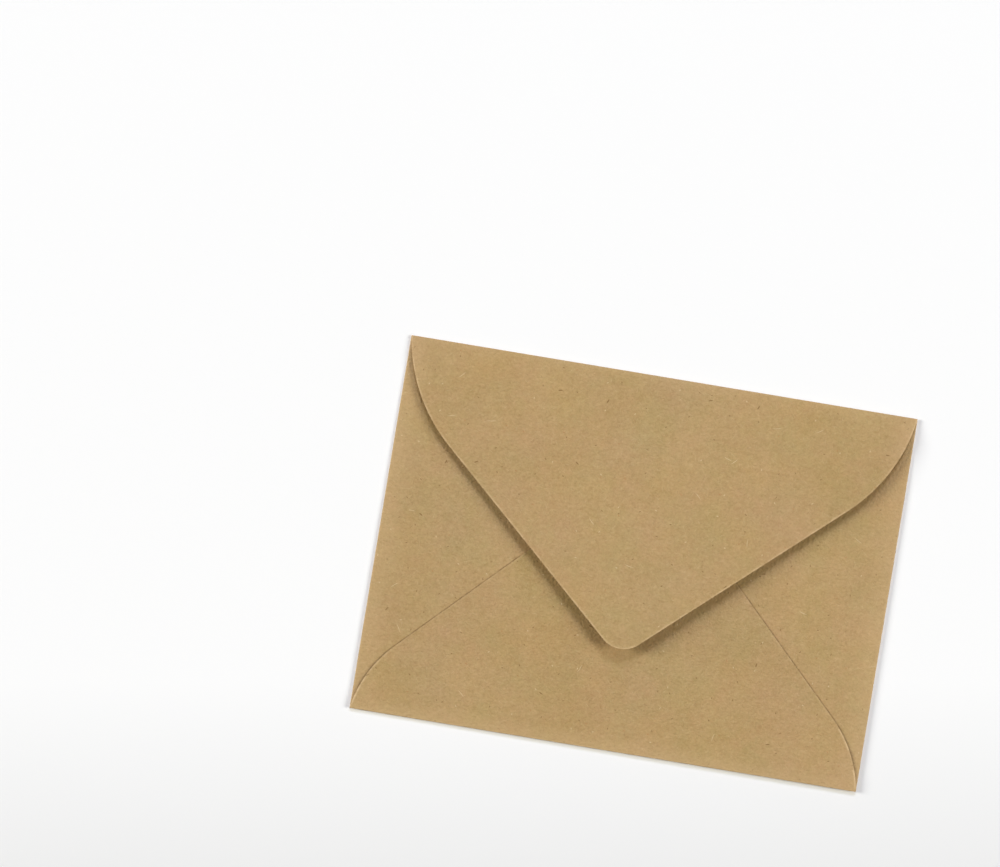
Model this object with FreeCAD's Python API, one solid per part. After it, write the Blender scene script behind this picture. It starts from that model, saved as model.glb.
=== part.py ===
import FreeCAD, Part
import math
import os

# A pointed-flap envelope of brown kraft paper, empty and unsealed. It lies on its address panel
# with the closure flap folded over and springing a little way up.
#
# The paper is one die-cut blank with a panel and four flaps, so it is one solid: the panel, four
# creases, two side flaps, a bottom flap glued over the side flaps, and the closure flap. The dry
# gum on the closure flap's inner face is a second, thin solid.
#
# Frame: X along the width, Y up the address panel towards the closure flap's crease, Z up.
# The origin is in the middle of the address panel's outer face. Millimetres and degrees.

Vector = FreeCAD.Vector

# The folded envelope, measured over its creases
ENVELOPE_WIDTH = 165.1
ENVELOPE_HEIGHT = 121.6
PAPER_THICKNESS = 0.16

# Between the layers
CREASE_GAP = 0.2          # clear height that the side creases leave inside the pocket
GLUE_FILM = 0.04          # seam glue between a side flap and the bottom flap
POCKET_RISE = 1.2         # how far the empty pocket's back stands up in the middle
END_FLAP_INSET = 0.05     # from the sides to where the closure and bottom flaps start
CORNER_CLEARANCE = 0.04   # between the ends of the side flaps and the end creases

# Closure flap: how far it springs up, and its outline
SPRING_ANGLE = 3.6
CLOSURE_DEPTH = 88.7
CLOSURE_EDGE_ANGLE = 42.0
CLOSURE_TIP_RADIUS = 8.5
CLOSURE_SHOULDER_RADIUS = 55.0

# Bottom flap
BOTTOM_DEPTH = 76.5
BOTTOM_EDGE_ANGLE = 45.0
BOTTOM_TIP_RADIUS = 41.0
BOTTOM_SHOULDER_RADIUS = 40.0

# Side flaps
SIDE_DEPTH = 78.6
SIDE_EDGE_ANGLE = 43.5
SIDE_TIP_RADIUS = 9.0
SIDE_SHOULDER_RADIUS = 91.0

# Seam glue, in a band beside each slanted edge of the bottom flap
SEAM_INSET = 1.5          # bare paper between the flap's edge and the band
SEAM_WIDTH = 12.0
SEAM_START = 16.0         # height of the band's lower end above the bottom crease
SEAM_END = 58.0           # height of its upper end
SEAM_BITE = 0.02          # how far the band is let into the paper above and below it

# Dry gum, in a band along the closure flap's edge
GUM_THICKNESS = 0.03
GUM_EDGE = 0.6            # bare paper between the flap's edge and the gum
GUM_WIDTH = 18.0
GUM_INNER_RADIUS = 11.0   # of the band's inner edge at the flap's tip
GUM_SIDE_MARGIN = 12.7    # from the envelope's sides to the ends of the band

# Creases: each is a half-round bend, tighter at the sides, where only two layers meet. The lines
# where the bends begin stand this far from the middle of the envelope.
side_bend_inner = CREASE_GAP / 2
end_bend_inner = (CREASE_GAP + PAPER_THICKNESS + GLUE_FILM) / 2
side_bend_outer = side_bend_inner + PAPER_THICKNESS
end_bend_outer = end_bend_inner + PAPER_THICKNESS
side_crease = ENVELOPE_WIDTH / 2 - side_bend_outer
end_crease = ENVELOPE_HEIGHT / 2 - end_bend_outer

# Height of each layer's underside at the creases
side_flap_z = PAPER_THICKNESS + CREASE_GAP
bottom_flap_z = side_flap_z + PAPER_THICKNESS + GLUE_FILM

# The closure and bottom flaps are cut nearly to the full width, so that the folded corners are
# square. The side flaps stop just short of the end creases.
end_half_base = ENVELOPE_WIDTH / 2 - END_FLAP_INSET
side_half_base = end_crease - CORNER_CLEARANCE

OVERRUN = 2.0             # how far a cutting outline runs on past the crease


def edge_directions(edge_angle):
    """Unit vectors along a right-hand slanted edge, away from the tip, and square to it, inward."""
    slope = math.radians(edge_angle)
    along = Vector(math.cos(slope), -math.sin(slope), 0)
    inward = Vector(-math.sin(slope), -math.cos(slope), 0)
    return along, inward


def tip_allowance(edge_angle, tip_radius):
    """How much further than its round tip a flap's straight edges would reach if they met."""
    return tip_radius * (1 / math.cos(math.radians(edge_angle)) - 1)


def tip_end(depth, edge_angle, tip_radius):
    """Where the round tip's arc runs into the right-hand straight edge."""
    along, inward = edge_directions(edge_angle)
    return Vector(0, depth - tip_radius, 0) - inward * tip_radius


def flap_points(half_base, depth, edge_angle, tip_radius, shoulder_radius):
    """The named points of a flap's right half: the crease on the X axis, the tip at +Y.

    A straight edge runs between a round tip and a round shoulder, and the shoulder's arc ends in
    the crease at half_base.
    """
    along, inward = edge_directions(edge_angle)
    corner = Vector(half_base, 0, 0)
    vertex = Vector(0, depth + tip_allowance(edge_angle, tip_radius), 0)
    corner_inside = (corner - vertex).dot(inward)
    corner_along = (corner - vertex).dot(along)
    run = math.sqrt(corner_inside * (2 * shoulder_radius - corner_inside))
    shoulder_start = vertex + along * (corner_along - run)
    centre = shoulder_start + inward * shoulder_radius
    towards_middle = (shoulder_start - centre) + (corner - centre)
    towards_middle.normalize()
    return {
        "tip": Vector(0, depth, 0),
        "tip_end": tip_end(depth, edge_angle, tip_radius),
        "shoulder_start": shoulder_start,
        "shoulder_middle": centre + towards_middle * shoulder_radius,
        "corner": corner,
    }


def mirrored(point):
    return Vector(-point.x, point.y, point.z)


def flap_face(points, overrun=0.0):
    """A flat flap from its named points. With an overrun it goes on past the crease."""
    right = points
    left = {name: mirrored(point) for name, point in points.items()}
    edges = [
        Part.Arc(right["corner"], right["shoulder_middle"], right["shoulder_start"]).toShape(),
        Part.makeLine(right["shoulder_start"], right["tip_end"]),
        Part.Arc(right["tip_end"], right["tip"], left["tip_end"]).toShape(),
        Part.makeLine(left["tip_end"], left["shoulder_start"]),
        Part.Arc(left["shoulder_start"], left["shoulder_middle"], left["corner"]).toShape(),
    ]
    if overrun:
        back = Vector(0, -overrun, 0)
        edges += [
            Part.makeLine(left["corner"], left["corner"] + back),
            Part.makeLine(left["corner"] + back, right["corner"] + back),
            Part.makeLine(right["corner"] + back, right["corner"]),
        ]
    else:
        edges.append(Part.makeLine(left["corner"], right["corner"]))
    return Part.Face(Part.Wire(edges))


def placed(shape, x=0.0, y=0.0, z=0.0, turn=0.0):
    """A copy of the shape, turned about Z and then moved."""
    shape = shape.copy()
    turning = FreeCAD.Rotation(Vector(0, 0, 1), turn)
    shape.Placement = FreeCAD.Placement(Vector(x, y, z), turning).multiply(shape.Placement)
    return shape


def domed_sheet(underside_z, thickness):
    """A rectangle of sheet over the whole pocket, level at the creases and domed between them.

    Its height over the creases is rise (1 - (x/a)^2)^2 (1 - (y/b)^2)^2, which is a Bezier surface
    of degree 4 by 4 with one raised pole.
    """
    degree = 4
    middle = degree // 2
    middle_weight = math.comb(degree, middle) * 0.5 ** degree
    surface = Part.BezierSurface()
    surface.increase(degree, degree)
    for i in range(degree + 1):
        for j in range(degree + 1):
            x = side_crease * (2 * i / degree - 1)
            y = end_crease * (2 * j / degree - 1)
            raised = POCKET_RISE / middle_weight ** 2 if i == j == middle else 0.0
            surface.setPole(i + 1, j + 1, Vector(x, y, underside_z + raised))
    return surface.toShape().extrude(Vector(0, 0, thickness))


def cut_out(sheet, outline):
    """The part of a sheet that lies over a flat outline."""
    height = 20.0
    column = placed(outline, z=-height).extrude(Vector(0, 0, 2 * height))
    return sheet.common(column)


def bend(inner_radius, length, angle):
    """A crease along X: the sheet turns from flat below to flat above, about the X axis."""
    outer_radius = inner_radius + PAPER_THICKNESS

    def on_arc(radius, turned):
        turned = math.radians(turned)
        return Vector(-length / 2, -radius * math.sin(turned), -radius * math.cos(turned))

    section = Part.Wire([
        Part.Arc(*(on_arc(outer_radius, angle * k / 2) for k in range(3))).toShape(),
        Part.makeLine(on_arc(outer_radius, angle), on_arc(inner_radius, angle)),
        Part.Arc(*(on_arc(inner_radius, angle * k / 2) for k in (2, 1, 0))).toShape(),
        Part.makeLine(on_arc(inner_radius, 0), on_arc(outer_radius, 0)),
    ])
    return Part.Face(section).extrude(Vector(length, 0, 0))


def address_panel():
    return Part.makeBox(
        2 * side_crease, 2 * end_crease, PAPER_THICKNESS, Vector(-side_crease, -end_crease, 0)
    )


closure_reach = CLOSURE_DEPTH - end_bend_outer
bottom_reach = BOTTOM_DEPTH - end_bend_outer
side_reach = SIDE_DEPTH - side_bend_outer

closure_points = flap_points(
    end_half_base, closure_reach, CLOSURE_EDGE_ANGLE, CLOSURE_TIP_RADIUS, CLOSURE_SHOULDER_RADIUS
)
bottom_points = flap_points(
    end_half_base, bottom_reach, BOTTOM_EDGE_ANGLE, BOTTOM_TIP_RADIUS, BOTTOM_SHOULDER_RADIUS
)
side_points = flap_points(
    side_half_base, side_reach, SIDE_EDGE_ANGLE, SIDE_TIP_RADIUS, SIDE_SHOULDER_RADIUS
)


def side_flap(side):
    """The flap and its crease, on the left (-1) or the right (+1)."""
    turn = 90 * side
    outline = placed(flap_face(side_points, OVERRUN), x=side * side_crease, turn=turn)
    flap = cut_out(domed_sheet(side_flap_z, PAPER_THICKNESS), outline)
    crease = placed(
        bend(side_bend_inner, 2 * side_half_base, 180),
        x=side * side_crease, z=PAPER_THICKNESS + side_bend_inner, turn=turn,
    )
    return [flap, crease]


def bottom_flap():
    outline = placed(flap_face(bottom_points, OVERRUN), y=-end_crease)
    margin = Part.makeBox(side_bend_outer, 2 * end_crease, PAPER_THICKNESS)
    over_side_creases = [
        placed(margin, x=x, y=-end_crease, z=bottom_flap_z)
        for x in (-ENVELOPE_WIDTH / 2, side_crease)
    ]
    sheet = domed_sheet(bottom_flap_z, PAPER_THICKNESS).fuse(over_side_creases)
    flap = cut_out(sheet, outline)
    crease = placed(
        bend(end_bend_inner, 2 * end_half_base, 180),
        y=-end_crease, z=PAPER_THICKNESS + end_bend_inner,
    )
    return [flap, crease]


def onto_closure_flap(shape):
    """Takes a flat shape, with the crease on the X axis, the tip at +Y and the flap's inner face
    at Z 0, to where the flap stands."""
    above_crease = placed(shape, z=end_bend_inner, turn=180)
    spring = FreeCAD.Rotation(Vector(1, 0, 0), -SPRING_ANGLE)
    crease_axis = Vector(0, end_crease, PAPER_THICKNESS + end_bend_inner)
    above_crease.Placement = FreeCAD.Placement(crease_axis, spring).multiply(above_crease.Placement)
    return above_crease


def closure_flap():
    flap = onto_closure_flap(flap_face(closure_points).extrude(Vector(0, 0, PAPER_THICKNESS)))
    crease = placed(
        bend(end_bend_inner, 2 * end_half_base, 180 - SPRING_ANGLE),
        y=end_crease, z=PAPER_THICKNESS + end_bend_inner, turn=180,
    )
    return [flap, crease]


def seam(side):
    """The glue between a side flap and the bottom flap, on the left (-1) or the right (+1)."""
    along, inward = edge_directions(BOTTOM_EDGE_ANGLE)
    foot = bottom_points["shoulder_start"]

    def on_edge(height):
        return foot + along * ((height - foot.y) / along.y)

    low, high = on_edge(SEAM_START), on_edge(SEAM_END)
    near, far = inward * SEAM_INSET, inward * (SEAM_INSET + SEAM_WIDTH)
    corners = [low + near, low + far, high + far, high + near, low + near]
    if side < 0:
        corners = [mirrored(corner) for corner in corners]
    outline = placed(Part.Face(Part.makePolygon(corners)), y=-end_crease)
    underside_z = side_flap_z + PAPER_THICKNESS - SEAM_BITE
    return cut_out(domed_sheet(underside_z, GLUE_FILM + 2 * SEAM_BITE), outline)


def envelope():
    flaps = [*side_flap(-1), *side_flap(1), *bottom_flap(), *closure_flap()]
    sheet = address_panel().fuse([*flaps, seam(-1), seam(1)]).removeSplitter()
    return sheet.Solids[0]


def bare_middle():
    """The part of the closure flap inside the gum band: a triangle with a round tip."""
    along, inward = edge_directions(CLOSURE_EDGE_ANGLE)
    band = (GUM_EDGE + GUM_WIDTH) / -inward.y
    vertex_y = closure_reach + tip_allowance(CLOSURE_EDGE_ANGLE, CLOSURE_TIP_RADIUS) - band
    tip_y = vertex_y - tip_allowance(CLOSURE_EDGE_ANGLE, GUM_INNER_RADIUS)
    right_end = tip_end(tip_y, CLOSURE_EDGE_ANGLE, GUM_INNER_RADIUS)
    right_foot = Vector(vertex_y * along.x / -along.y, 0, 0)
    return Part.Face(Part.Wire([
        Part.makeLine(right_foot, right_end),
        Part.Arc(right_end, Vector(0, tip_y, 0), mirrored(right_end)).toShape(),
        Part.makeLine(mirrored(right_end), mirrored(right_foot)),
        Part.makeLine(mirrored(right_foot), right_foot),
    ]))


def flap_gum():
    """A film of dry gum along the closure flap's slanted edges, short of its shoulders."""
    half_width = ENVELOPE_WIDTH / 2 - GUM_SIDE_MARGIN
    coated = flap_face(closure_points).makeOffset2D(-GUM_EDGE)
    between_ends = Part.makePlane(2 * half_width, closure_reach, Vector(-half_width, 0, 0))
    band = coated.common(between_ends).cut(bare_middle())
    return onto_closure_flap(band.extrude(Vector(0, 0, -GUM_THICKNESS)).Solids[0])


os.makedirs("parts", exist_ok=True)
envelope().exportStep("parts/envelope.step")
flap_gum().exportStep("parts/flap_gum.step")
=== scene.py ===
from collections import namedtuple
import math

import bmesh
import bpy
import numpy as np
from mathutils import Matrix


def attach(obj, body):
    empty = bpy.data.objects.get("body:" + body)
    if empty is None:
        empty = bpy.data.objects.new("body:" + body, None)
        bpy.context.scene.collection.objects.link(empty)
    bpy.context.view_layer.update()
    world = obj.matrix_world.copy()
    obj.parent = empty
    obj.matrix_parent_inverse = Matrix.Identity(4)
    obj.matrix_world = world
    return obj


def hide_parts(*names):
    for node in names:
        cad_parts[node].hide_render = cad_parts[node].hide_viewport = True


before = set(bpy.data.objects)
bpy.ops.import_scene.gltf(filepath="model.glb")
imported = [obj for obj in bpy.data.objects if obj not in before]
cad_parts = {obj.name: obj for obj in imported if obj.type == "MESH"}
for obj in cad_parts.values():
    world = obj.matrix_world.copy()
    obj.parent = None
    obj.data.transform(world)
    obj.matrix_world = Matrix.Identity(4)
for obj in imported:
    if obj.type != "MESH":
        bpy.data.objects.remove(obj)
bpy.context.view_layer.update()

# A folded kraft envelope. The whole sheet is one mesh, laid out as a blank and folded over its
# creases, with the sizes that the solids have. Millimetres until the mesh is written in metres.
MM = 0.001

WIDTH = 165.1
HEIGHT = 121.6
PAPER = 0.16
CREASE_GAP = 0.2
GLUE_FILM = 0.04
POCKET_RISE = 1.2
END_FLAP_INSET = 0.05
CORNER_CLEARANCE = 0.04
CLOSURE_DEPTH = 88.7
BOTTOM_DEPTH = 76.5
SIDE_DEPTH = 78.6
SPRING_ANGLE = math.radians(3.6)
GUM = 0.03
GUM_EDGE = 0.6
GUM_WIDTH = 18.0
GUM_INNER_RADIUS = 11.0
GUM_SIDE_MARGIN = 12.7

side_inner = CREASE_GAP / 2
end_inner = (CREASE_GAP + PAPER + GLUE_FILM) / 2
side_outer = side_inner + PAPER
end_outer = end_inner + PAPER
side_crease = WIDTH / 2 - side_outer
end_crease = HEIGHT / 2 - end_outer
end_half = WIDTH / 2 - END_FLAP_INSET
side_half = end_crease - CORNER_CLEARANCE

# A flap's depth here is measured from its crease line, and its slope is how steeply its cut
# edges leave that line
Flap = namedtuple("Flap", "half_base depth slope tip_radius shoulder_radius")
CLOSURE = Flap(end_half, CLOSURE_DEPTH - end_outer, math.radians(42.0), 8.5, 55.0)
BOTTOM = Flap(end_half, BOTTOM_DEPTH - end_outer, math.radians(45.0), 41.0, 40.0)
SIDE = Flap(side_half, SIDE_DEPTH - side_outer, math.radians(43.5), 9.0, 91.0)

# What only the soft paper has. A run is the length over which a form grows, and a fade the length
# over which it dies away at a crease or at the tip. The closure flap's shoulders stand up, beyond
# a distance from the middle and down to a depth. Its cut edges curl up, more on the right, and
# half as much near the crease.
SHOULDER_LIFT_LEFT = 0.25
SHOULDER_LIFT_RIGHT = 0.8
SHOULDER_FROM = 48.0
SHOULDER_RUN = 26.0
SHOULDER_DEPTH = 50.0
SHOULDER_DEPTH_RUN = 35.0
EDGE_CURL = 0.32
EDGE_CURL_RIGHT = 0.18
EDGE_CURL_RIGHT_RUN = 60.0
CURL_LENGTH = 10.0
FULL_CURL_FROM = 45.0
FULL_CURL_RUN = 15.0
CURL_TIP_FADE = 18.0
EDGES_CREASE_FADE = 9.0

# The bottom flap's cut edges curl, and lift where they aren't glued, down to a depth
BOTTOM_LIFT = 0.25
BOTTOM_LIFT_LENGTH = 2.5
BOTTOM_LIFT_FADE = 3.0
BOTTOM_CURL = 0.07
BOTTOM_CURL_LENGTH = 0.8
BOTTOM_CURL_FADE = 3.5
UNGLUED_DEPTH = 24.0
UNGLUED_RUN = 12.0

# Low waves in the closure flap and in the pocket's back
CLOSURE_WAVES = 0.14
CLOSURE_WAVE_LENGTH = 70.0
WAVES_CREASE_FADE = 25.0
WAVES_TIP_FADE = 12.0
POCKET_WAVES = 0.1
POCKET_WAVE_LENGTH = 60.0

# The gum band starts no nearer to the crease than these depths, left and right. Its inner edge is
# a little streaked, more over GUM_STREAKED_END at either end of the band, and the ends themselves
# are ragged by up to GUM_RAGGED, over GUM_RAGGED_END.
GUM_DEPTH_LEFT = 6.0
GUM_DEPTH_RIGHT = 10.5
GUM_FAINT_STREAK = 0.12
GUM_STREAKED_END = 13.0
GUM_STREAK = 3.5
GUM_RAGGED_END = 3.0
GUM_RAGGED = 0.45

# Strength of the painted highlight on the cut edges, from 0 to 1: the bottom flap's is stronger
# where its edges aren't glued
SIDE_EDGE_HIGHLIGHT = 0.45
BOTTOM_EDGE_HIGHLIGHT = 0.25
UNGLUED_EDGE_HIGHLIGHT = 0.65
CLOSURE_EDGE_HIGHLIGHT = 0.5

# Paler bands at the end creases, part wear and part painted light: the closure crease has less than
# the side ones, the bottom one more, as painted light on its bend
CLOSURE_CREASE_SPARED = 4.0
BOTTOM_CREASE_NARROWED = 1.75
BOTTOM_CREASE_BRIGHTENED = 0.6

# The mesh: its rows and columns, how far the gum reaches into the paper, how near points are
# welded, in metres, and a distance at which a cut edge or a seam has no effect
END_COLUMNS = 104
SIDE_COLUMNS = 80
FLAP_ROWS = 84
BEND_STEPS = 8
GUM_COLUMNS = 420
GUM_ROWS = 28
GUM_BITE = 0.02
WELD = 2e-6
FAR_OFF = 30.0


def arc_points(centre, start, end, count):
    """Points round a centre from start to end, by the shorter way, without the last one."""
    a = math.atan2(start[1] - centre[1], start[0] - centre[0])
    b = math.atan2(end[1] - centre[1], end[0] - centre[0])
    turn = (b - a + math.pi) % (2 * math.pi) - math.pi
    radius = np.hypot(*(np.array(start) - centre))
    angles = a + turn * np.arange(count) / count
    return np.stack([centre[0] + radius * np.cos(angles), centre[1] + radius * np.sin(angles)], 1)


def tip_allowance(slope, radius):
    """How much further than its round tip a flap's straight edges would reach if they met."""
    return radius * (1 / math.cos(slope) - 1)


def right_half(flap):
    """The right half of a flap's edge, from its corner to its tip, as (half width, depth)."""
    along = np.array([math.cos(flap.slope), -math.sin(flap.slope)])
    inward = np.array([-math.sin(flap.slope), -math.cos(flap.slope)])
    corner = np.array([flap.half_base, 0.0])
    vertex = np.array([0.0, flap.depth + tip_allowance(flap.slope, flap.tip_radius)])
    tip = np.array([0.0, flap.depth])
    tip_centre = np.array([0.0, flap.depth - flap.tip_radius])
    tip_end = tip_centre - inward * flap.tip_radius
    inside = (corner - vertex) @ inward
    run = math.sqrt(inside * (2 * flap.shoulder_radius - inside))
    shoulder = vertex + along * ((corner - vertex) @ along - run)
    shoulder_centre = shoulder + inward * flap.shoulder_radius
    straight = np.hypot(*(tip_end - shoulder))
    shoulder_chord = np.hypot(*(corner - shoulder))
    tip_chord = np.hypot(*(tip_end - tip))
    shoulder_turn = 2 * math.asin(shoulder_chord / (2 * flap.shoulder_radius))
    tip_turn = 2 * math.asin(tip_chord / (2 * flap.tip_radius))
    lengths = [flap.shoulder_radius * shoulder_turn, straight, 2 * flap.tip_radius * tip_turn]
    counts = [max(6, round(FLAP_ROWS * length / sum(lengths))) for length in lengths]
    steps = np.arange(counts[1])[:, None] / counts[1]
    return np.vstack([
        arc_points(shoulder_centre, corner, shoulder, counts[0]),
        shoulder + (tip_end - shoulder) * steps,
        arc_points(tip_centre, tip_end, tip, counts[2]),
        [tip],
    ])


def both_halves(half):
    """The whole edge, from the right corner round the tip to the left one."""
    return np.vstack([half, half[-2::-1] * [-1, 1]])


def edge_depth(half, across):
    """How deep a flap reaches at that distance from its middle line."""
    return np.interp(abs(across), half[::-1, 0], half[::-1, 1])


def distance_to_line(x, y, line):
    """How far each point is from a line of many short pieces."""
    points = np.stack([x.ravel(), y.ravel()], 1)
    best = np.full(len(points), np.inf)
    for start, end in zip(line[:-1], line[1:]):
        piece = end - start
        t = np.clip((points - start) @ piece / (piece @ piece), 0, 1)
        best = np.minimum(best, np.hypot(*(points - start - t[:, None] * piece).T))
    return best.reshape(x.shape)


def fade(x):
    """0 at 0 and 1 at 1, level at both ends."""
    x = np.clip(x, 0, 1)
    return x * x * (3 - 2 * x)


def waves(x, y, seed, length):
    """A soft random relief between about -1 and 1, with bumps of about that length."""
    rng = np.random.default_rng(seed)
    total = np.zeros_like(x)
    for _ in range(9):
        heading = rng.uniform(0, math.pi)
        size = length * rng.uniform(0.7, 1.6)
        phase = rng.uniform(0, 2 * math.pi)
        total = total + np.sin(
            2 * math.pi * (x * math.cos(heading) + y * math.sin(heading)) / size + phase
        )
    return total / 4.5


def pocket_back(x, y):
    """How far the back of the pocket stands over the level of its creases."""
    u = np.clip(1 - (x / side_crease) ** 2, 0, 1)
    v = np.clip(1 - (y / end_crease) ** 2, 0, 1)
    rise = POCKET_RISE + POCKET_WAVES * waves(x, y, seed=3, length=POCKET_WAVE_LENGTH)
    return (u * v) ** 2 * rise


def crease_distance(blank):
    """How far the nearest crease is, for the paper's paler bands of wear and painted light, which
    differ from crease to crease.
    """
    side = abs(abs(blank[:, 0]) - side_crease - side_outer * math.pi / 2)
    end = abs(abs(blank[:, 1]) - end_crease - end_outer * math.pi / 2)
    closure = end + CLOSURE_CREASE_SPARED
    bottom = BOTTOM_CREASE_NARROWED * end - BOTTOM_CREASE_BRIGHTENED
    return np.minimum(side, np.where(blank[:, 1] > 0, closure, bottom))


class Sheet:
    """Collects grids of points that share their edges."""

    def __init__(self):
        self.points = []
        self.blank = []
        self.faces = []
        self.measures = {"edge_mm": [], "edge_highlight": [], "seam_mm": []}

    def add(self, points, blank, edge, pale, seam=FAR_OFF):
        """points and blank are rows by columns by 3 and 2, the outer face in place and on the
        blank. The others are rows by columns, or one number for all but the first: how far the cut
        edge is, how strong its painted highlight is, and how far the edge of the flap on top is."""
        rows, columns = edge.shape
        start = sum(len(p) for p in self.points)
        self.points.append(points.reshape(-1, 3))
        self.blank.append(blank.reshape(-1, 2))
        for label, values in zip(self.measures, (edge, pale, seam)):
            self.measures[label].append(np.broadcast_to(values, edge.shape).reshape(-1))
        index = start + np.arange(rows * columns).reshape(rows, columns)
        quads = np.stack([index[:-1, :-1], index[:-1, 1:], index[1:, 1:], index[1:, :-1]], -1)
        self.faces.append(quads.reshape(-1, 4))

    def add_bend(self, span, half, crease, outer, turn=math.pi, sideways=False):
        """The round bend along a crease, at the top (half 1) or at the bottom (half -1), and
        sideways on the right or on the left. Returns the bend's length on the blank."""
        along, angle = np.meshgrid(span, np.linspace(0, turn, BEND_STEPS + 1))
        out = half * (crease + outer * np.sin(angle))
        flat = half * (crease + outer * angle)
        up = outer * (1 - np.cos(angle))
        points = [out, along, up] if sideways else [along, out, up]
        blank = [flat, along] if sideways else [along, flat]
        self.add(np.stack(points, -1), np.stack(blank, -1), span[-1] - abs(along), 0.0)
        return outer * turn

    def build(self, name, thickness, first_up):
        """One closed mesh. The points are its outer face; first_up says which way the first quad
        of that face looks, up (1) or down (-1)."""
        blank = np.concatenate(self.blank)
        mesh = bpy.data.meshes.new(name)
        mesh.from_pydata(
            (np.concatenate(self.points) * MM).tolist(), [], np.concatenate(self.faces).tolist()
        )
        where = mesh.attributes.new("blank_mm", "FLOAT_VECTOR", "POINT")
        where.data.foreach_set("vector", np.column_stack([blank, np.zeros(len(blank))]).ravel())
        measures = {label: np.concatenate(parts) for label, parts in self.measures.items()}
        measures["crease_mm"] = crease_distance(blank)
        for label, values in measures.items():
            mesh.attributes.new(label, "FLOAT", "POINT").data.foreach_set("value", values)
        bm = bmesh.new()
        bm.from_mesh(mesh)
        bmesh.ops.remove_doubles(bm, verts=bm.verts, dist=WELD)
        bmesh.ops.recalc_face_normals(bm, faces=bm.faces)
        bm.faces.ensure_lookup_table()
        if bm.faces[0].normal.z * first_up < 0:
            bmesh.ops.reverse_faces(bm, faces=bm.faces)
        bm.to_mesh(mesh)
        bm.free()
        piece = bpy.data.objects.new(name, mesh)
        bpy.context.collection.objects.link(piece)
        solid = piece.modifiers.new("thickness", "SOLIDIFY")
        solid.thickness = thickness * MM
        solid.offset = -1
        graph = bpy.context.evaluated_depsgraph_get()
        piece.data = bpy.data.meshes.new_from_object(piece.evaluated_get(graph))
        piece.modifiers.clear()
        bpy.data.meshes.remove(mesh)
        piece.data.name = name
        piece.data.polygons.foreach_set("use_smooth", [True] * len(piece.data.polygons))
        piece.data.set_sharp_from_angle(angle=math.radians(40))
        return piece


def flap_grid(flap, base):
    """Rows of a flap from the crease, where its columns stand at base, to the tip: across, depth
    and distance to the cut edge."""
    outline = right_half(flap)
    across = outline[:, :1] * base / base[-1]
    depth = np.repeat(outline[:, 1:], len(base), 1)
    return across, depth, distance_to_line(across, depth, both_halves(outline))


def on_closure(across, depth, lift):
    """Points on the closure flap's outer face, lifted square to it."""
    rise = end_outer + lift
    y = end_crease - depth * math.cos(SPRING_ANGLE) + rise * math.sin(SPRING_ANGLE)
    z = PAPER + end_inner + depth * math.sin(SPRING_ANGLE) + rise * math.cos(SPRING_ANGLE)
    return np.stack([across, y, z], -1)


def closure_relief(across, depth):
    """The closure flap isn't quite flat: soft waves that die away at its crease, shoulders that
    stand up a little and cut edges that curl up, both more on the right."""
    to_tip = CLOSURE.depth - depth
    right = SHOULDER_LIFT_RIGHT * fade((across - SHOULDER_FROM) / SHOULDER_RUN)
    left = SHOULDER_LIFT_LEFT * fade((-across - SHOULDER_FROM) / SHOULDER_RUN)
    shoulders = (right + left) * fade((SHOULDER_DEPTH - depth) / SHOULDER_DEPTH_RUN)
    beyond_edge = (depth - edge_depth(right_half(CLOSURE), across)) * math.cos(CLOSURE.slope)
    height = EDGE_CURL + EDGE_CURL_RIGHT * fade(0.5 + across / EDGE_CURL_RIGHT_RUN)
    curl = np.exp(beyond_edge / CURL_LENGTH) * height
    full_curl = fade((depth - FULL_CURL_FROM) / FULL_CURL_RUN)
    curl = curl * (0.5 + 0.5 * full_curl) * fade(to_tip / CURL_TIP_FADE)
    relief = CLOSURE_WAVES * waves(across, depth, seed=11, length=CLOSURE_WAVE_LENGTH)
    relief = relief * fade(depth / WAVES_CREASE_FADE) * fade(to_tip / WAVES_TIP_FADE)
    return relief + (shoulders + curl) * fade(depth / EDGES_CREASE_FADE)


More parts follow.
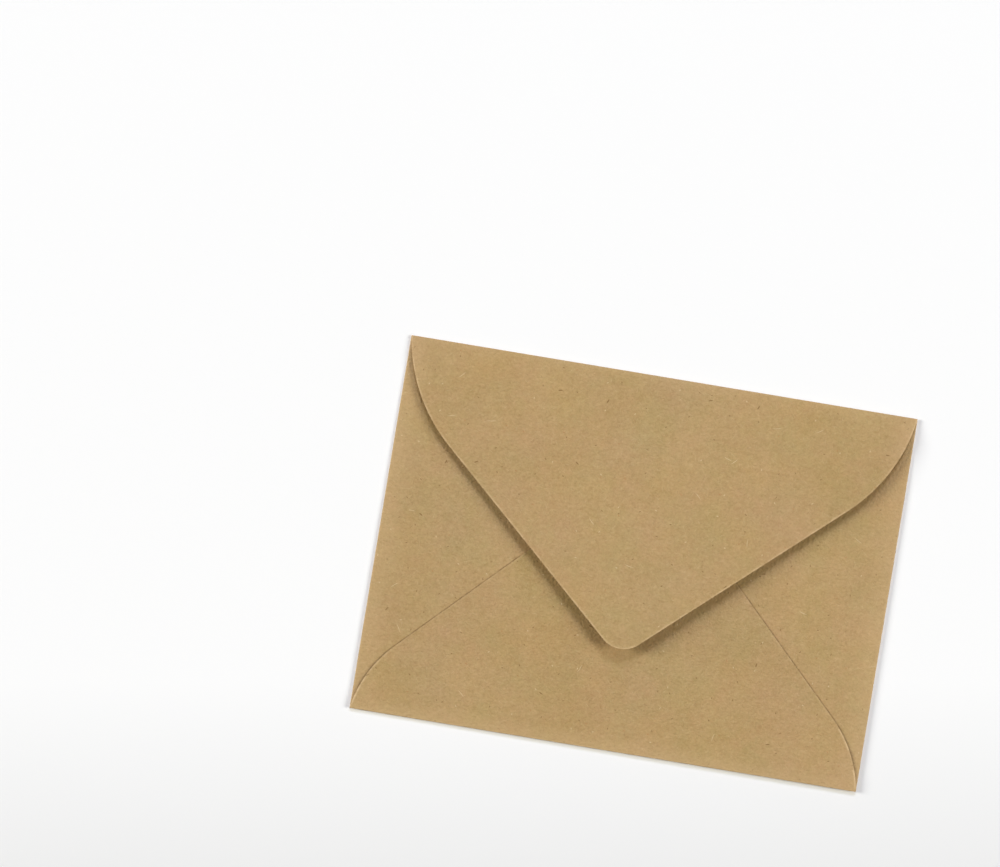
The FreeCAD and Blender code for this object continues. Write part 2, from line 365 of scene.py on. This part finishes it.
def folded_sheet():
    """The whole blank: panel, side flaps, bottom flap and closure flap, with their creases."""
    paper = Sheet()

    # The panel's outer face is the underside of the envelope. The end flaps are a little wider
    # than it and the side flaps a little shorter.
    panel_x = np.linspace(-1, 1, END_COLUMNS + 1) * side_crease
    side_span = np.linspace(-1, 1, SIDE_COLUMNS + 1) * side_half
    end_span = np.concatenate([[-end_half], panel_x, [end_half]])
    panel_y = np.concatenate([[-end_crease], side_span, [end_crease]])
    x, y = np.meshgrid(panel_x, panel_y)
    edge = np.full(x.shape, FAR_OFF)
    paper.add(np.stack([x, y, 0 * x], -1), np.stack([x, y], -1), edge, 0.0)

    # Side flaps, with the bottom flap's edge over them
    bottom_half = right_half(BOTTOM)
    bottom_line = both_halves(bottom_half) - [0, end_crease]
    across, depth, edge = flap_grid(SIDE, side_span)
    for half in (-1, 1):
        length = paper.add_bend(side_span, half, side_crease, side_outer, sideways=True)
        x = half * (side_crease - depth)
        z = 2 * side_outer + pocket_back(x, across)
        blank_x = half * (side_crease + length + depth)
        beyond = across + end_crease > edge_depth(bottom_half, x)
        seam = np.where(beyond, 1, -1) * distance_to_line(x, across, bottom_line)
        points = np.stack([x, across, z], -1)
        # The side flaps' cut edges get a painted highlight
        paper.add(points, np.stack([blank_x, across], -1), edge, SIDE_EDGE_HIGHLIGHT, seam)

    # Bottom flap: its edge lifts where it isn't glued, near the bottom corners
    across, depth, edge = flap_grid(BOTTOM, end_span)
    length = paper.add_bend(end_span, -1, end_crease, end_outer)
    unglued = fade((UNGLUED_DEPTH - depth) / UNGLUED_RUN)
    lift = BOTTOM_LIFT * np.exp(-edge / BOTTOM_LIFT_LENGTH) * unglued
    lift *= fade(depth / BOTTOM_LIFT_FADE)
    lift += BOTTOM_CURL * np.exp(-edge / BOTTOM_CURL_LENGTH) * fade(depth / BOTTOM_CURL_FADE)
    y = -end_crease + depth
    z = 2 * end_outer + pocket_back(across, y) + lift
    blank_y = -end_crease - length - depth
    # Painted highlight on the bottom flap's cut edges, stronger where they aren't glued
    pale = BOTTOM_EDGE_HIGHLIGHT + UNGLUED_EDGE_HIGHLIGHT * unglued
    paper.add(np.stack([across, y, z], -1), np.stack([across, blank_y], -1), edge, pale)

    # Closure flap
    across, depth, edge = flap_grid(CLOSURE, end_span)
    length = paper.add_bend(end_span, 1, end_crease, end_outer, turn=math.pi - SPRING_ANGLE)
    blank_y = end_crease + length + depth
    outer_face = on_closure(across, depth, closure_relief(across, depth))
    # Painted highlight on the closure flap's cut edges
    paper.add(outer_face, np.stack([across, blank_y], -1), edge, CLOSURE_EDGE_HIGHLIGHT)
    return paper.build("envelope_paper", PAPER, first_up=-1)


def gum_edges(x):
    """Depth of the gum band's inner and outer edges at a distance x from the middle."""
    slope = CLOSURE.slope
    outer = edge_depth(right_half(CLOSURE), x) - GUM_EDGE / math.cos(slope)
    vertex = CLOSURE.depth + tip_allowance(slope, CLOSURE.tip_radius)
    point = vertex - (GUM_EDGE + GUM_WIDTH) / math.cos(slope)
    tip = point - tip_allowance(slope, GUM_INNER_RADIUS)
    rounded = tip - GUM_INNER_RADIUS + np.sqrt(np.clip(GUM_INNER_RADIUS ** 2 - x ** 2, 0, None))
    straight = point - abs(x) * math.tan(slope)
    inner = np.where(abs(x) < GUM_INNER_RADIUS * math.sin(slope), rounded, straight)
    return inner, outer


def gum_film():
    """The band of dry gum: ragged where the gumming roller lifted, at the ends of the band."""
    rng = np.random.default_rng(5)
    half = WIDTH / 2 - GUM_SIDE_MARGIN
    x = np.linspace(-half, half, GUM_COLUMNS)
    inner, outer = gum_edges(x)
    streak = np.interp(np.arange(len(x)), np.arange(0, len(x), 3), rng.uniform(0, 1, len(x) // 3))
    near_end = fade((abs(x) - (half - GUM_STREAKED_END)) / GUM_STREAKED_END)
    least_depth = np.where(x < 0, GUM_DEPTH_LEFT, GUM_DEPTH_RIGHT)
    inner = np.maximum(inner, least_depth) + near_end * streak * GUM_STREAK
    inner += GUM_FAINT_STREAK * streak
    depth = inner + (outer - inner) * np.linspace(0, 1, GUM_ROWS)[:, None]
    ragged = np.interp(depth, np.linspace(0, 90, 160), rng.uniform(-1, 1, 160))
    at_end = fade((abs(x) - (half - GUM_RAGGED_END)) / GUM_RAGGED_END)
    across = x + np.sign(x) * GUM_RAGGED * ragged * at_end
    blank_y = end_crease + end_outer * (math.pi - SPRING_ANGLE) + depth
    film_face = on_closure(across, depth, closure_relief(across, depth) - PAPER + GUM_BITE)
    film = Sheet()
    film.add(film_face, np.stack([across, blank_y], -1), outer - depth, 0.0)
    return film.build("flap_gum_film", GUM + GUM_BITE, first_up=1)


envelope = folded_sheet()
gum = gum_film()
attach(envelope, "root")
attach(gum, "root")
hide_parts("envelope")
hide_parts("flap_gum")


def linear(red, green, blue):
    """A colour read in 0 to 255, as the shader's own linear colour."""
    values = (c / 255 for c in (red, green, blue))
    return tuple(c / 12.92 if c <= 0.04045 else ((c + 0.055) / 1.055) ** 2.4 for c in values) + (1,)


def grey(level):
    """A grey given as linear light."""
    return (level, level, level, 1)


class Nodes:
    """Short ways to add nodes to a material or a world."""

    def __init__(self, owner):
        owner.use_nodes = True
        self.tree = owner.node_tree
        nodes = self.tree.nodes
        self.shader = nodes.get("Principled BSDF") or nodes["Background"]

    def put(self, socket, value):
        if isinstance(value, bpy.types.NodeSocket):
            self.tree.links.new(value, socket)
        else:
            socket.default_value = value

    def math(self, operation, a, b):
        made = self.tree.nodes.new("ShaderNodeMath")
        made.operation = operation
        self.put(made.inputs[0], a)
        self.put(made.inputs[1], b)
        return made.outputs[0]

    def vector(self, operation, a, b=(0.0, 0.0, 0.0)):
        made = self.tree.nodes.new("ShaderNodeVectorMath")
        made.operation = operation
        self.put(made.inputs[0], a)
        self.put(made.inputs["Scale"] if operation == "SCALE" else made.inputs[1], b)
        return made.outputs["Value" if operation in ("DOT_PRODUCT", "LENGTH") else "Vector"]

    def attribute(self, name, output):
        made = self.tree.nodes.new("ShaderNodeAttribute")
        made.attribute_name = name
        return made.outputs[output]

    def noise(self, where, size, detail, roughness=0.5, distortion=0.0):
        """Noise from 0 to 1 with features of about that size in millimetres."""
        made = self.tree.nodes.new("ShaderNodeTexNoise")
        self.put(made.inputs["Vector"], where)
        made.inputs["Scale"].default_value = 1 / size
        made.inputs["Detail"].default_value = detail
        made.inputs["Roughness"].default_value = roughness
        made.inputs["Distortion"].default_value = distortion
        return made.outputs["Fac"]

    def clouds(self, centre, *layers):
        """Several noises round a centre value: (where, size, detail, distortion, share) each."""
        total = centre
        for where, size, detail, distortion, share in layers:
            swing = self.math("SUBTRACT", self.noise(where, size, detail, 0.6, distortion), 0.5)
            total = self.math("ADD", total, self.math("MULTIPLY", swing, share))
        return total

    def ramp(self, value, low, high, to_low=0.0, to_high=1.0, curve="SMOOTHSTEP"):
        made = self.tree.nodes.new("ShaderNodeMapRange")
        made.interpolation_type = curve
        for socket, number in zip(made.inputs, (value, low, high, to_low, to_high)):
            self.put(socket, number)
        return made.outputs[0]

    def mix(self, share, a, b):
        made = self.tree.nodes.new("ShaderNodeMix")
        made.data_type = "RGBA"
        self.put(made.inputs["Factor"], share)
        self.put(made.inputs[6], a)
        self.put(made.inputs[7], b)
        return made.outputs[2]

    def scatter(self, where, cell, length, width, share, bow=0.0):
        """Specks or fibres of that length and width, turned at random, in that share of the cells,
        and bent by bow: 1 on them, 0 between. All but the share are in millimetres."""
        spread = self.vector("SCALE", where, 1 / cell)
        cells = self.tree.nodes.new("ShaderNodeTexVoronoi")
        cells.voronoi_dimensions = "2D"
        cells.inputs["Scale"].default_value = 1.0
        self.put(cells.inputs["Vector"], spread)
        local = self.vector("SUBTRACT", spread, cells.outputs["Position"])
        chance = self.tree.nodes.new("ShaderNodeSeparateColor")
        self.put(chance.inputs[0], cells.outputs["Color"])
        turned = self.tree.nodes.new("ShaderNodeVectorRotate")
        turned.rotation_type = "Z_AXIS"
        self.put(turned.inputs["Vector"], local)
        self.put(turned.inputs["Angle"], self.math("MULTIPLY", chance.outputs[0], 2 * math.pi))
        parts = self.tree.nodes.new("ShaderNodeSeparateXYZ")
        self.put(parts.inputs[0], turned.outputs[0])
        u = self.math("MULTIPLY", parts.outputs[0], 2 * cell / length)
        v = self.math("MULTIPLY", parts.outputs[1], 2 * cell / width)
        if bow:
            bent = self.math("MULTIPLY", self.math("MULTIPLY", u, u), 2 * bow / width)
            v = self.math("ADD", v, bent)
        far = self.math("ADD", self.math("MULTIPLY", u, u), self.math("MULTIPLY", v, v))
        on = self.ramp(far, 1.0, 0.25)
        return self.math("MULTIPLY", on, self.math("LESS_THAN", chance.outputs[1], share))

    def bump(self, height, depth_mm):
        made = self.tree.nodes.new("ShaderNodeBump")
        made.inputs["Strength"].default_value = 1.0
        made.inputs["Distance"].default_value = depth_mm * MM
        self.put(made.inputs["Height"], height)
        self.put(self.shader.inputs["Normal"], made.outputs[0])

    def background_view(self, other=0.0):
        """1 where the camera looks, also in a reflection or through something clear, and the other
        value for the light that falls on things."""
        rays = self.tree.nodes.new("ShaderNodeLightPath")
        for name in ("Is Camera Ray", "Is Glossy Ray", "Is Transmission Ray"):
            other = self.math("MAXIMUM", rays.outputs[name], other)
        return other


def kraft_colour(n, where, shifted, third):
    """Warm brown, lighter and darker, greener and pinker, and more or less blue in soft clouds."""
    tone = n.clouds(
        0.5,
        (where, 60.0, 1.0, 0.0, 0.22),
        (shifted, 16.0, 1.0, 0.0, 0.17),
        (third, 5.0, 2.0, 0.0, 0.25),
        (where, 1.9, 2.0, 0.6, 0.42),
        (shifted, 0.85, 1.0, 0.8, 0.56),
    )
    hue = n.clouds(
        0.5,
        (third, 55.0, 1.0, 0.0, 1.1),
        (where, 14.0, 2.0, 0.5, 1.6),
        (shifted, 3.0, 2.0, 0.5, 0.75),
        (third, 0.9, 1.0, 0.0, 0.7),
    )
    blue = n.clouds(
        1.0,
        (where, 45.0, 1.0, 0.0, 0.24),
        (shifted, 13.0, 2.0, 0.0, 0.15),
        (third, 3.0, 3.0, 0.0, 0.08),
    )
    greener = n.mix(tone, linear(155, 128, 79), linear(199, 172, 122))
    pinker = n.mix(tone, linear(162, 127, 82), linear(206, 171, 125))
    tint = n.tree.nodes.new("ShaderNodeCombineXYZ")
    tint.inputs[0].default_value = 1.0
    tint.inputs[1].default_value = 1.0
    n.put(tint.inputs[2], blue)
    return n.vector("MULTIPLY", n.mix(hue, greener, pinker), tint.outputs[0])


def kraft_paper():
    """Uncoated kraft with fibres and specks, creases paler from wear and painted light, a painted
    shadow along the bottom flap's edges and painted highlights on the cut edges.
    """
    material = bpy.data.materials.new("kraft_paper")
    n = Nodes(material)
    where = n.attribute("blank_mm", "Vector")
    shifted, third, fourth, fifth, sixth = (
        n.vector("ADD", where, (x, y, 0.0))
        for x, y in ((313.0, 177.0), (71.0, 629.0), (19.0, 91.0), (47.0, 13.0), (93.0, 55.0))
    )
    coloured = kraft_colour(n, where, shifted, third)
    pale = linear(226, 203, 162)
    dark = linear(128, 98, 57)
    rust = linear(176, 120, 72)
    hairs = n.scatter(where, 2.9, 2.0, 0.17, 0.6, bow=0.12)
    dark_hairs = n.scatter(shifted, 2.6, 1.6, 0.16, 0.5, bow=-0.1)
    long_hairs = n.scatter(shifted, 13.0, 3.4, 0.2, 0.16, bow=0.15)
    pale_specks = n.scatter(third, 9.5, 0.85, 0.38, 0.32)
    dark_specks = n.scatter(fourth, 7.0, 0.85, 0.36, 0.4)
    rust_specks = n.scatter(fifth, 12.0, 0.9, 0.5, 0.4)
    dark_flecks = n.scatter(sixth, 24.0, 1.7, 0.5, 0.5, bow=0.1)
    for marks, strength, colour in (
        (hairs, 0.2, pale),
        (dark_hairs, 0.25, dark),
        (long_hairs, 0.72, pale),
        (pale_specks, 0.6, pale),
        (rust_specks, 0.4, rust),
        (dark_specks, 0.75, dark),
        (dark_flecks, 0.75, dark),
    ):
        coloured = n.mix(n.math("MULTIPLY", marks, strength), coloured, colour)

    # Paler towards each crease and palest along its crest: part wear, part painted light on the
    # bends
    crease = n.attribute("crease_mm", "Fac")
    crease_wear_and_light = n.ramp(crease, 10.0, -1.0, 0.0, 0.30)
    coloured = n.mix(crease_wear_and_light, coloured, linear(212, 180, 134))
    crest = n.ramp(crease, 0.9, -0.6, 0.0, 0.7)
    coloured = n.mix(crest, coloured, linear(222, 190, 145))

    # Painted shadow, uneven, along the bottom flap's edges where they lie on the side flaps
    seam_shadow = n.ramp(n.attribute("seam_mm", "Fac"), 0.55, 0.2)
    uneven = n.ramp(n.noise(where, 3.0, 3.0), 0.3, 0.7, 0.15, 0.5)
    coloured = n.mix(n.math("MULTIPLY", seam_shadow, uneven), coloured, dark)

    # Painted highlight, uneven, along the cut edges
    cut = n.ramp(n.attribute("edge_mm", "Fac"), 0.75, 0.15)
    cut = n.math("MULTIPLY", cut, n.attribute("edge_highlight", "Fac"))
    uneven = n.ramp(n.noise(where, 4.0, 3.0), 0.35, 0.65, 0.15, 1.0)
    coloured = n.mix(n.math("MULTIPLY", cut, uneven), coloured, linear(222, 192, 147))

    n.put(n.shader.inputs["Base Color"], coloured)
    n.shader.inputs["Roughness"].default_value = 0.86
    n.shader.inputs["Specular IOR Level"].default_value = 0.25
    tooth = n.noise(where, 0.85, 1.0, 0.4, 0.3)
    raised = n.math("ADD", tooth, n.math("MULTIPLY", n.math("ADD", hairs, long_hairs), 0.05))
    n.bump(raised, 0.26)
    return material


def dry_gum():
    """Dry gum over kraft: darker and browner, smooth and a little glossy, with faint streaks."""
    material = bpy.data.materials.new("dry_gum")
    n = Nodes(material)
    where = n.attribute("blank_mm", "Vector")
    stretched = n.vector("MULTIPLY", where, (1.0, 0.16, 1.0))
    streaks = n.ramp(n.noise(stretched, 1.4, 3.0), 0.3, 0.7)
    colour = n.mix(streaks, linear(164, 131, 86), linear(176, 144, 98))
    patches = n.ramp(n.noise(where, 7.0, 3.0), 0.3, 0.7, 0.95, 1.05)
    n.put(n.shader.inputs["Base Color"], n.vector("SCALE", colour, patches))
    n.put(n.shader.inputs["Roughness"], n.ramp(streaks, 0.0, 1.0, 0.42, 0.55))
    n.bump(n.math("ADD", streaks, n.noise(where, 0.7, 3.0)), 0.01)
    return material


envelope.data.materials.append(kraft_paper())
gum.data.materials.append(dry_gum())

# The photo's frame: its middle lies off the envelope, and its top is turned from the envelope's
CAMERA_TURN = math.radians(9.44)
FRAME_MIDDLE = (-49.27, 34.2)
FRAME_WIDTH = 321.8
LENS = 300.0
SENSOR = 36.0

camera_data = bpy.data.cameras.new("camera")
camera_data.lens = LENS
camera_data.sensor_width = SENSOR
camera_data.sensor_fit = "HORIZONTAL"
camera_data.clip_end = 20.0
camera = bpy.data.objects.new("camera", camera_data)
camera.location = (*(c * MM for c in FRAME_MIDDLE), FRAME_WIDTH * MM * LENS / SENSOR)
camera.rotation_euler = (0, 0, CAMERA_TURN)
bpy.context.collection.objects.link(camera)
bpy.context.scene.camera = camera


# The table, in metres: it turns greyer between two distances from the frame's middle towards the
# viewer, and fades into the white beyond it between two distances all round. It lies a little
# below the sheet, least at the sheet's top left corner and most at its bottom right one.
TABLE_WHITE = grey(0.988)
TABLE_GREY = grey(0.875)
BEYOND_TABLE = grey(0.97)
GREYING = (0.080, 0.140)
FADING = (0.3, 0.8)
TABLE_SIZE = 4.0
TABLE_DROP = 0.00042
TABLE_TILT = (0.0040, 0.0020, 0)


def table_top():
    """A white table that turns a little greyer towards the viewer and fades out far away."""
    material = bpy.data.materials.new("table_top")
    n = Nodes(material)
    place = n.tree.nodes.new("ShaderNodeNewGeometry").outputs["Position"]
    from_middle = n.vector("SUBTRACT", place, (FRAME_MIDDLE[0] * MM, FRAME_MIDDLE[1] * MM, 0.0))
    to_viewer = (math.sin(CAMERA_TURN), -math.cos(CAMERA_TURN), 0.0)
    nearer = n.ramp(n.vector("DOT_PRODUCT", from_middle, to_viewer), *GREYING, curve="LINEAR")
    n.put(n.shader.inputs["Base Color"], n.mix(nearer, TABLE_WHITE, TABLE_GREY))
    n.shader.inputs["Roughness"].default_value = 1.0
    n.shader.inputs["Specular IOR Level"].default_value = 0.0
    far = n.ramp(n.vector("LENGTH", from_middle), *FADING)
    glow = n.tree.nodes.new("ShaderNodeEmission")
    glow.inputs["Color"].default_value = BEYOND_TABLE
    blend = n.tree.nodes.new("ShaderNodeMixShader")
    n.put(blend.inputs[0], n.math("MULTIPLY", far, n.background_view()))
    n.put(blend.inputs[1], n.shader.outputs[0])
    n.put(blend.inputs[2], glow.outputs[0])
    n.put(n.tree.nodes["Material Output"].inputs["Surface"], blend.outputs[0])
    return material


bpy.ops.mesh.primitive_plane_add(size=TABLE_SIZE, location=(0, 0, -TABLE_DROP), rotation=TABLE_TILT)
table = bpy.context.object
table.name = "table_top"
table.data.materials.append(table_top())

# The lamps' distance in metres, and the strength of the glow all round
LAMP_DISTANCE = 12.0
GLOW = 0.04


def softbox(name, azimuth, elevation, width, height, share):
    """A soft light towards the envelope, giving that share (r, g, b) of the light on the table."""
    lamp = bpy.data.lights.new(name, "AREA")
    lamp.shape = "RECTANGLE"
    lamp.size = width
    lamp.size_y = height
    lamp.color = [c / max(share) for c in share]
    a, e = math.radians(azimuth), math.radians(elevation)
    lamp.energy = max(share) * math.pi ** 2 * LAMP_DISTANCE ** 2 / math.sin(e)
    holder = bpy.data.objects.new(name, lamp)
    direction = (math.cos(e) * math.cos(a), math.cos(e) * math.sin(a), math.sin(e))
    holder.location = [LAMP_DISTANCE * c for c in direction]
    holder.rotation_euler = (math.pi / 2 - e, 0, a + math.pi / 2)
    bpy.context.collection.objects.link(holder)


softbox("light_left", 176, 29.5, 4.0, 5.2, (0.360, 0.358, 0.338))
softbox("light_right", 4, 33, 4.0, 5.2, (0.352, 0.350, 0.332))
softbox("light_front", 270, 40, 3.2, 3.4, (0.045, 0.035, 0.010))
softbox("light_back", 90, 45, 3.2, 3.0, (0.235, 0.250, 0.310))


def studio():
    """A faint glow all round, and white where the camera looks past the table."""
    world = bpy.data.worlds.new("studio")
    bpy.context.scene.world = world
    n = Nodes(world)
    n.shader.inputs["Color"].default_value = BEYOND_TABLE
    n.put(n.shader.inputs["Strength"], n.background_view(GLOW))


studio()
bpy.context.scene.view_settings.view_transform = "Standard"
